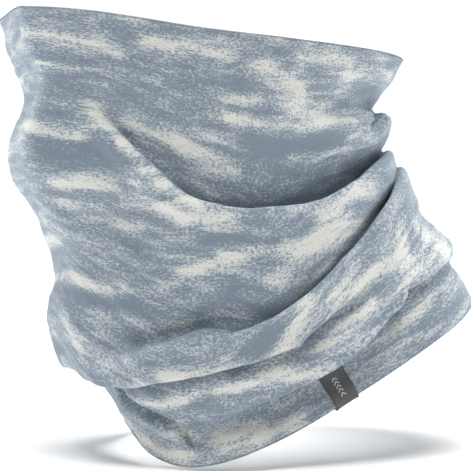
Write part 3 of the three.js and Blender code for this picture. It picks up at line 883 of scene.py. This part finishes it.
def care_tag():
    """Folded satin label: two leaves joined by a fold, hanging from the line of the hinge."""
    joint = frame["joints"][0]
    axis = -Vector(joint["axis"]).normalized()
    hinge = Vector(joint["pos_m"])
    out = Vector((1, 0, 0))
    out.rotate(Matrix.Rotation(math.radians(-CARE_REST), 3, axis))
    side = axis.cross(out)
    half_gap = CARE_THICK * 0.7
    narrowing = 0.3  # share of the gap that is gone at the fold
    start, tip = 0.2, 1.0  # millimetres before the leaves begin, and round the fold
    reach = CARE_LENGTH - (start + tip)
    leaf = [(start + reach * t, half_gap * (1 - narrowing * t)) for t in np.linspace(0, 1, 22)]
    fold = [(reach + start + tip * math.sin(turn), (1 - narrowing) * half_gap * math.cos(turn))
            for turn in np.linspace(0.4, 2.75, 7)]
    line = leaf + fold + [(x, -y) for x, y in leaf][::-1]
    line = np.array(line)
    bow = 0.8  # millimetres that the leaves bend aside halfway
    line[:, 1] += bow * np.sin(line[:, 0] / CARE_LENGTH * math.pi)
    tangent = np.gradient(line, axis=0)
    tangent /= np.linalg.norm(tangent, axis=1, keepdims=True)
    normal = np.stack([-tangent[:, 1], tangent[:, 0]], 1)
    travel = np.append(0, np.cumsum(np.linalg.norm(np.diff(line, axis=0), axis=1)))
    heights = np.linspace(-CARE_WIDTH / 2, CARE_WIDTH / 2, 9)
    basis = np.array([out, side, axis])
    rings = []
    for height in heights:
        both = [line + normal * CARE_THICK / 2, (line - normal * CARE_THICK / 2)[::-1]]
        flat = np.concatenate(both)
        local = np.column_stack([flat, np.full(len(flat), height)])
        rings.append(local @ basis + np.array(hinge) / MM)
    rings = np.array(rings)
    grid = np.arange(rings.shape[0] * rings.shape[1]).reshape(rings.shape[:2])
    faces, places = strip_skin(grid, True)
    length = np.concatenate([travel, travel[::-1]])
    uv = [(heights[i] + CARE_WIDTH / 2, length[j]) for quad in places for i, j in quad]
    tag = add_mesh("care_tag", rings.reshape(-1, 3), faces, [satin()], uv=uv)
    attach(tag, "care_label_leaf")
    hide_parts("care_label")
    return tag


# ---- studio ----

def white_room(towards_camera):
    """Surroundings that are bright behind the object and dim on the camera's side.

    The camera itself sees them plain white from every side.
    """
    world = bpy.data.worlds.new("studio")
    bpy.context.scene.world = world
    world.use_nodes = True
    tree = world.node_tree
    place = tree.nodes.new("ShaderNodeTexCoord")
    facing = tree.nodes.new("ShaderNodeVectorMath")
    facing.operation = "DOT_PRODUCT"
    facing.inputs[1].default_value = towards_camera
    tree.links.new(place.outputs["Generated"], facing.inputs[0])
    fade = tree.nodes.new("ShaderNodeMapRange")
    fade.interpolation_type = "SMOOTHSTEP"
    tree.links.new(facing.outputs["Value"], fade.inputs["Value"])
    for socket, value in (("From Min", -0.55), ("From Max", 0.1), ("To Min", 1.1), ("To Max", 0.125)):
        fade.inputs[socket].default_value = value
    seen = tree.nodes.new("ShaderNodeLightPath")
    plain = tree.nodes.new("ShaderNodeMath")
    plain.operation = "MAXIMUM"
    tree.links.new(fade.outputs["Result"], plain.inputs[0])
    tree.links.new(seen.outputs["Is Camera Ray"], plain.inputs[1])
    tree.links.new(plain.outputs["Value"], tree.nodes["Background"].inputs["Strength"])
    tree.nodes["Background"].inputs["Color"].default_value = (0.97, 0.985, 1.0, 1)


def studio(low, high):
    centre = (low + high) / 2
    azimuth = math.radians(72)  # from the front, round by the wearer's left
    distance = 0.8  # metres from the neck axis
    view_width = 0.2355  # metres across the picture at the neck axis
    back = Vector((math.sin(azimuth), -math.cos(azimuth), 0))
    right = Vector((math.cos(azimuth), math.sin(azimuth), 0))
    # The object stands a little to the right of the middle of the picture and above it.
    aim = centre - right * 0.0025 - Vector((0, 0, 0.0013))
    lens = bpy.data.cameras.new("camera")
    lens.sensor_width = 36
    lens.lens = lens.sensor_width * distance / view_width
    lens.clip_end = 20
    camera = bpy.data.objects.new("camera", lens)
    bpy.context.scene.collection.objects.link(camera)
    camera.rotation_mode = "QUATERNION"
    camera.location = aim + back * distance
    camera.rotation_quaternion = (-back).to_track_quat("-Z", "Y")
    bpy.context.scene.camera = camera

    def softbox(name, place, power, size):
        light = bpy.data.lights.new(name, "AREA")
        light.energy = power
        light.size = size
        hang_light(light, place)

    def hang_light(light, place):
        holder = bpy.data.objects.new(light.name, light)
        bpy.context.scene.collection.objects.link(holder)
        holder.location = aim + place
        holder.rotation_mode = "QUATERNION"
        holder.rotation_quaternion = (-place).to_track_quat("-Z", "Y")

    up = Vector((0, 0, 1))
    overhead = bpy.data.lights.new("overhead", "SUN")
    overhead.energy = 3.3
    overhead.angle = math.radians(38)
    hang_light(overhead, up + back * 0.16 + right * 0.04)
    softbox("rim_right", right * 1.0 - back * 0.35 + up * 0.15, 4.0, 0.5)
    softbox("rim_left", -right * 1.0 - back * 0.3 + up * 0.2, 4.0, 0.5)
    white_room(back)
    bpy.context.scene.view_settings.view_transform = "Standard"
    half = 60.0 / MM
    below = low.z / MM - 0.5
    corners = [[-half, -half, below], [half, -half, below], [half, half, below], [-half, half, below]]
    floor = add_mesh("floor", corners, [(0, 1, 2, 3)], [studio_floor()])


cloth = Cloth()
tube = jersey_tube(cloth)
edge_thread = sewing_thread("edge_thread", srgb(106, 116, 125), srgb(142, 151, 158))
seam_thread_look = sewing_thread("seam_thread", srgb(120, 131, 140), srgb(158, 167, 174))
trims = [
    edge_overlock(cloth, 0, "top_overlock", "top_edge_thread", edge_thread),
    edge_overlock(cloth, ROWS - 1, "bottom_overlock", "bottom_edge_thread", edge_thread),
    seam_thread(cloth, 1, "seam_needle_left", "seam_needle_thread_left", seam_thread_look),
    seam_thread(cloth, -1, "seam_needle_right", "seam_needle_thread_right", seam_thread_look),
    seam_looper(cloth, seam_thread_look),
    hem_tab(cloth),
]
care_tag()
studio(*CAD_BOX)
